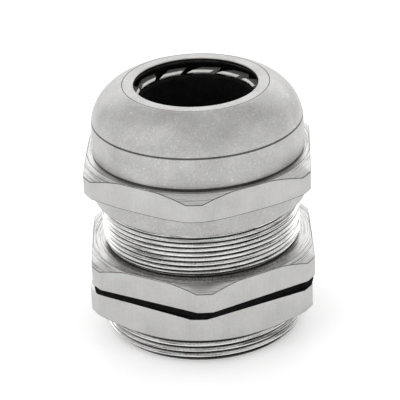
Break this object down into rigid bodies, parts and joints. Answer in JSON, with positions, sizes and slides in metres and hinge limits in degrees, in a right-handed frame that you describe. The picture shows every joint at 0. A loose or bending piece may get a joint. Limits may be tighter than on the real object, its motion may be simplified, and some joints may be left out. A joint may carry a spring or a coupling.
{
  "type": "cable gland",
  "caption": "Metal cable gland with a domed clamping nut, folding clamp fingers, a rubber cable seal, a hexagonal gasket and a lock nut.",
  "frame": {"origin": "centre of the entry end of the threaded body", "axes": "+Z along the cable, from the entry thread towards the domed nut; one corner of the body hexagon points to -Y"},
  "size_m": [0.0564, 0.0614, 0.0645],
  "materials": {
    "nickel": "bright nickel plate on brass, lightly satin",
    "seal_rubber": "matte black",
    "gasket_rubber": "matte black",
    "nylon": "satin light grey"
  },
  "bodies": {
    "body": {"gland_body": "nickel", "cable_seal": "seal_rubber"},
    "cage": {"clamp_ring": "nylon"},
    "nut": {"dome_nut": "nickel"},
    "gasket": {"hex_gasket": "gasket_rubber"},
    "locknut": {"lock_nut": "nickel"},
    "finger_01": {"clamp_finger_01": "nylon"},
    "finger_02": {"clamp_finger_02": "nylon"},
    "finger_03": {"clamp_finger_03": "nylon"},
    "finger_04": {"clamp_finger_04": "nylon"},
    "finger_05": {"clamp_finger_05": "nylon"},
    "finger_06": {"clamp_finger_06": "nylon"},
    "finger_07": {"clamp_finger_07": "nylon"},
    "finger_08": {"clamp_finger_08": "nylon"},
    "finger_09": {"clamp_finger_09": "nylon"},
    "finger_10": {"clamp_finger_10": "nylon"},
    "finger_11": {"clamp_finger_11": "nylon"},
    "finger_12": {"clamp_finger_12": "nylon"}
  },
  "joints": [
    {"name": "cage_travel", "type": "slide", "parent": "body", "child": "cage", "axis": [0, 0, -1], "range_m": [0, 0.00625], "deforming": ["cable_seal"]},
    {"name": "nut_turn", "type": "hinge", "parent": "cage", "child": "nut", "pos_m": [0, 0, 0.05], "axis": [0, 0, -1], "range_deg": [0, 1800]},
    {"name": "gasket_travel", "type": "slide", "parent": "body", "child": "gasket", "axis": [0, 0, -1], "range_m": [0, 0.006]},
    {"name": "locknut_turn", "type": "hinge", "parent": "gasket", "child": "locknut", "pos_m": [0, 0, 0.0117], "axis": [0, 0, -1], "range_deg": [0, 1440]},
    {"name": "finger_01_fold", "type": "hinge", "parent": "cage", "child": "finger_01", "pos_m": [0.01795, 0, 0.046], "axis": [0, -1, 0], "range_deg": [0, 5.74]},
    {"name": "finger_02_fold", "type": "hinge", "parent": "cage", "child": "finger_02", "pos_m": [0.01555, 0.00898, 0.046], "axis": [0.5, -0.866, 0], "range_deg": [0, 5.74]},
    {"name": "finger_03_fold", "type": "hinge", "parent": "cage", "child": "finger_03", "pos_m": [0.00898, 0.01555, 0.046], "axis": [0.866, -0.5, 0], "range_deg": [0, 5.74]},
    {"name": "finger_04_fold", "type": "hinge", "parent": "cage", "child": "finger_04", "pos_m": [0, 0.01795, 0.046], "axis": [1, 0, 0], "range_deg": [0, 5.74]},
    {"name": "finger_05_fold", "type": "hinge", "parent": "cage", "child": "finger_05", "pos_m": [-0.00898, 0.01555, 0.046], "axis": [0.866, 0.5, 0], "range_deg": [0, 5.74]},
    {"name": "finger_06_fold", "type": "hinge", "parent": "cage", "child": "finger_06", "pos_m": [-0.01555, 0.00898, 0.046], "axis": [0.5, 0.866, 0], "range_deg": [0, 5.74]},
    {"name": "finger_07_fold", "type": "hinge", "parent": "cage", "child": "finger_07", "pos_m": [-0.01795, 0, 0.046], "axis": [0, 1, 0], "range_deg": [0, 5.74]},
    {"name": "finger_08_fold", "type": "hinge", "parent": "cage", "child": "finger_08", "pos_m": [-0.01555, -0.00898, 0.046], "axis": [-0.5, 0.866, 0], "range_deg": [0, 5.74]},
    {"name": "finger_09_fold", "type": "hinge", "parent": "cage", "child": "finger_09", "pos_m": [-0.00898, -0.01555, 0.046], "axis": [-0.866, 0.5, 0], "range_deg": [0, 5.74]},
    {"name": "finger_10_fold", "type": "hinge", "parent": "cage", "child": "finger_10", "pos_m": [0, -0.01795, 0.046], "axis": [-1, 0, 0], "range_deg": [0, 5.74]},
    {"name": "finger_11_fold", "type": "hinge", "parent": "cage", "child": "finger_11", "pos_m": [0.00898, -0.01555, 0.046], "axis": [-0.866, -0.5, 0], "range_deg": [0, 5.74]},
    {"name": "finger_12_fold", "type": "hinge", "parent": "cage", "child": "finger_12", "pos_m": [0.01555, -0.00898, 0.046], "axis": [-0.5, -0.866, 0], "range_deg": [0, 5.74]}
  ],
  "couplings": [
    {"joint": "cage_travel", "follows": "nut_turn", "m_per_rad": 0.00019894},
    {"joint": "gasket_travel", "follows": "locknut_turn", "m_per_rad": 0.00023873},
    {"joint": "finger_01_fold", "follows": "nut_turn", "ratio": 0.0031831},
    {"joint": "finger_02_fold", "follows": "nut_turn", "ratio": 0.0031831},
    {"joint": "finger_03_fold", "follows": "nut_turn", "ratio": 0.0031831},
    {"joint": "finger_04_fold", "follows": "nut_turn", "ratio": 0.0031831},
    {"joint": "finger_05_fold", "follows": "nut_turn", "ratio": 0.0031831},
    {"joint": "finger_06_fold", "follows": "nut_turn", "ratio": 0.0031831},
    {"joint": "finger_07_fold", "follows": "nut_turn", "ratio": 0.0031831},
    {"joint": "finger_08_fold", "follows": "nut_turn", "ratio": 0.0031831},
    {"joint": "finger_09_fold", "follows": "nut_turn", "ratio": 0.0031831},
    {"joint": "finger_10_fold", "follows": "nut_turn", "ratio": 0.0031831},
    {"joint": "finger_11_fold", "follows": "nut_turn", "ratio": 0.0031831},
    {"joint": "finger_12_fold", "follows": "nut_turn", "ratio": 0.0031831}
  ]
}
